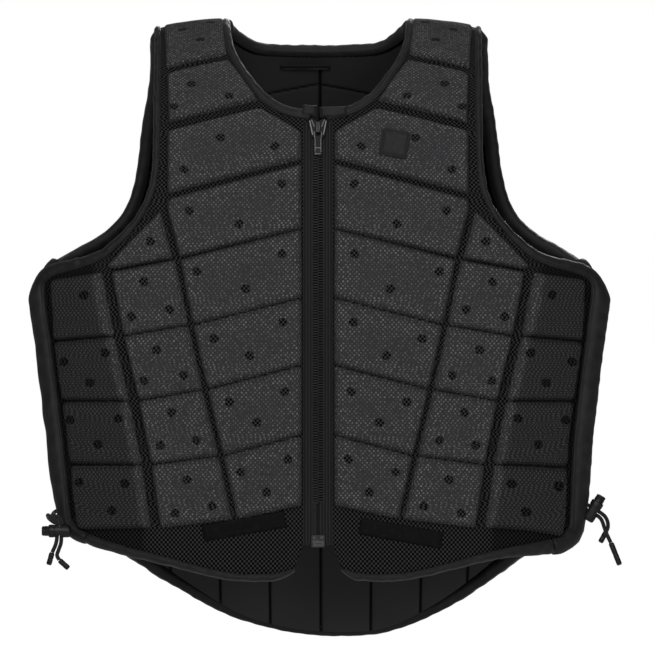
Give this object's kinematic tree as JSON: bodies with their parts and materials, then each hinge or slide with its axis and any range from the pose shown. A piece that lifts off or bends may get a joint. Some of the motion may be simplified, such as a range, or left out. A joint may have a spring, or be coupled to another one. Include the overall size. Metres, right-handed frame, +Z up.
{
  "type": "equestrian body protector",
  "caption": "Riding vest of foam pads under mesh cloth with a front zip, laced sides with cord locks, bound edges and a long rounded back, in its worn form.",
  "frame": {"origin": "centre plane of the body, at the height of the inner top of the shoulders and between the front and the back, where the wearer carries it", "axes": "+Z up along the wearer, -Y out of the chest, +X towards the wearer's left arm"},
  "size_m": [0.5967, 0.2094, 0.6257],
  "materials": {
    "mesh_cloth": "mesh over foam pads",
    "binding_cloth": "folded edge tape",
    "lining_cloth": "smooth knitted lining",
    "zip_cloth": "woven zip tape",
    "zip_teeth": "moulded teeth",
    "zip_metal": "black enamel",
    "label_rubber": "soft moulded",
    "label_cloth": "woven label",
    "lace_cord": "braided round cord",
    "lock_plastic": "moulded"
  },
  "bodies": {
    "vest": {"front_panel_left": "mesh_cloth", "front_neck_binding_left": "binding_cloth", "front_armhole_binding_left": "binding_cloth", "front_side_binding_left": "binding_cloth", "front_hem_binding_left": "binding_cloth", "back_armhole_binding_left": "binding_cloth", "back_side_binding_left": "binding_cloth", "zip_tape_left": "zip_cloth", "zip_teeth_left": "zip_teeth", "hem_label_left": "label_rubber", "front_lace_loops_left": "binding_cloth", "back_lace_loops_left": "binding_cloth", "side_lace_left": "lace_cord", "cord_lock_barrel_left": "lock_plastic", "cord_long_left": "lace_cord", "cord_tip_long_left": "lock_plastic", "cord_short_left": "lace_cord", "cord_tip_short_left": "lock_plastic", "front_panel_right": "mesh_cloth", "front_neck_binding_right": "binding_cloth", "front_armhole_binding_right": "binding_cloth", "front_side_binding_right": "binding_cloth", "front_hem_binding_right": "binding_cloth", "back_armhole_binding_right": "binding_cloth", "back_side_binding_right": "binding_cloth", "zip_tape_right": "zip_cloth", "zip_teeth_right": "zip_teeth", "hem_label_right": "label_rubber", "front_lace_loops_right": "binding_cloth", "back_lace_loops_right": "binding_cloth", "side_lace_right": "lace_cord", "cord_lock_barrel_right": "lock_plastic", "cord_long_right": "lace_cord", "cord_tip_long_right": "lock_plastic", "cord_short_right": "lace_cord", "cord_tip_short_right": "lock_plastic", "back_panel": "mesh_cloth", "back_neck_binding": "binding_cloth", "tail_binding": "binding_cloth", "back_lining": "lining_cloth", "zip_slider": "zip_metal", "zip_box": "zip_metal", "zip_top_tab": "binding_cloth", "neck_label": "label_cloth", "chest_badge": "label_rubber"},
    "zip_pull": {"zip_pull": "zip_metal"},
    "left_button": {"cord_lock_button_left": "lock_plastic"},
    "right_button": {"cord_lock_button_right": "lock_plastic"}
  },
  "joints": [
    {"name": "zip_pull_hinge", "type": "hinge", "parent": "vest", "child": "zip_pull", "pos_m": [0, -0.08083, -0.08604], "axis": [-1, 0, 0], "range_deg": [0, 120]},
    {"name": "left_lock_press", "type": "slide", "parent": "vest", "child": "left_button", "axis": [-0.5225, 0, -0.8526], "range_m": [0, 0.002], "stiffness_N_per_m": 600, "springref_m": -0.003},
    {"name": "right_lock_press", "type": "slide", "parent": "vest", "child": "right_button", "axis": [1, 0, 0], "range_m": [0, 0.002], "stiffness_N_per_m": 600, "springref_m": -0.003}
  ]
}
